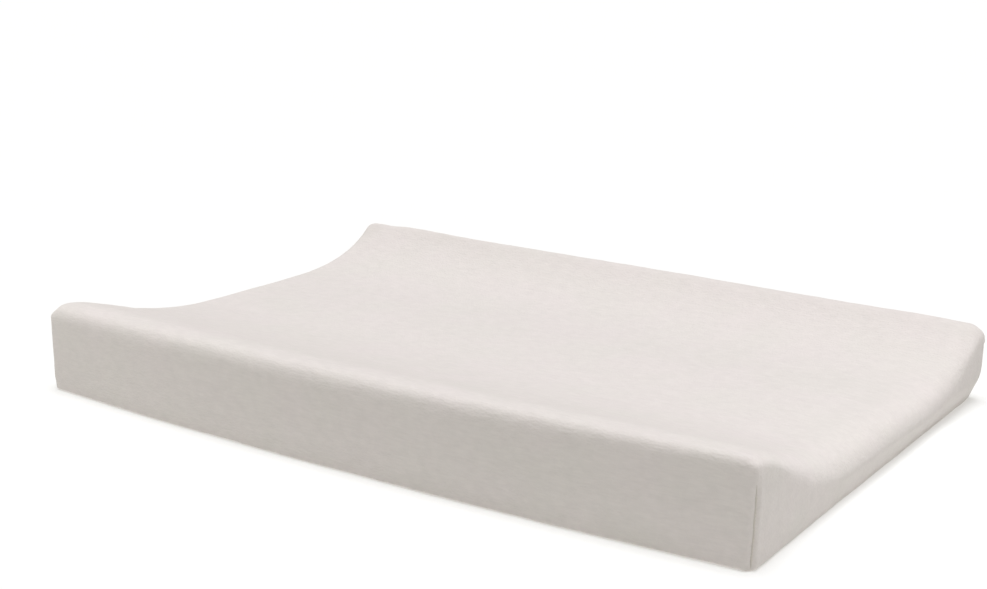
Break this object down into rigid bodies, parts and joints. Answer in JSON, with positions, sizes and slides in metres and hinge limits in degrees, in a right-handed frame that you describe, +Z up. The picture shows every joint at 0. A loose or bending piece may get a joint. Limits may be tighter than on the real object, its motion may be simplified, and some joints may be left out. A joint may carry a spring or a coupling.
{
  "type": "changing pad",
  "caption": "Contoured changing pad: foam core hollowed along its length, zipped wipe-clean liner, and a lift-off fitted towelling cover drawn in underneath by elastic.",
  "frame": {"origin": "middle of the underside, on the surface that the pad rests on", "axes": "+X along the pad, towards the closed end of the zip; +Y across it; +Z up, away from the surface"},
  "size_m": [0.7, 0.478, 0.0809],
  "materials": {
    "foam": "matt, fine open-cell polyether foam, cream",
    "liner_film": "satin, wipe-clean film with a fine leather-like emboss",
    "zip_tape": "woven polyester tape",
    "zip_coil": "satin nylon",
    "zip_metal": "nickel plated, lightly brushed",
    "towelling": "matt looped cotton towelling, off-white",
    "corner_seam": "matt sewn ridge of the same towelling",
    "elastic": "knitted elastic webbing, white",
    "label_satin": "satin ribbon, blank, white"
  },
  "bodies": {
    "pad": {"foam_core": "foam", "liner_top": "liner_film", "liner_base_front": "liner_film", "liner_base_rear": "liner_film", "zip_tape_front": "zip_tape", "zip_tape_rear": "zip_tape", "zip_coil_front": "zip_coil", "zip_coil_rear": "zip_coil", "zip_top_stop_front": "zip_metal", "zip_top_stop_rear": "zip_metal", "zip_bottom_stop": "zip_metal"},
    "zip_slider": {"zip_slider": "zip_metal"},
    "zip_pull": {"zip_pull": "zip_metal"},
    "cover": {"terry_cover": "towelling", "cover_hem": "towelling", "hem_elastic": "elastic", "care_label": "label_satin", "corner_seam_front_left": "corner_seam", "corner_seam_front_right": "corner_seam", "corner_seam_rear_left": "corner_seam", "corner_seam_rear_right": "corner_seam"}
  },
  "joints": [
    {"name": "zip_open", "type": "slide", "parent": "pad", "child": "zip_slider", "axis": [-1, 0, 0], "range_m": [0, 0.504], "deforming": ["zip_coil_front", "zip_coil_rear"]},
    {"name": "pull_swing", "type": "hinge", "parent": "zip_slider", "child": "zip_pull", "pos_m": [0.252, 0, 0.0035], "axis": [0, 1, 0], "range_deg": [0, 180]},
    {"name": "cover_lift", "type": "slide", "parent": "pad", "child": "cover", "axis": [0, 0, 1], "range_m": [0, 0.15], "deforming": ["cover_hem", "hem_elastic", "care_label"]}
  ]
}
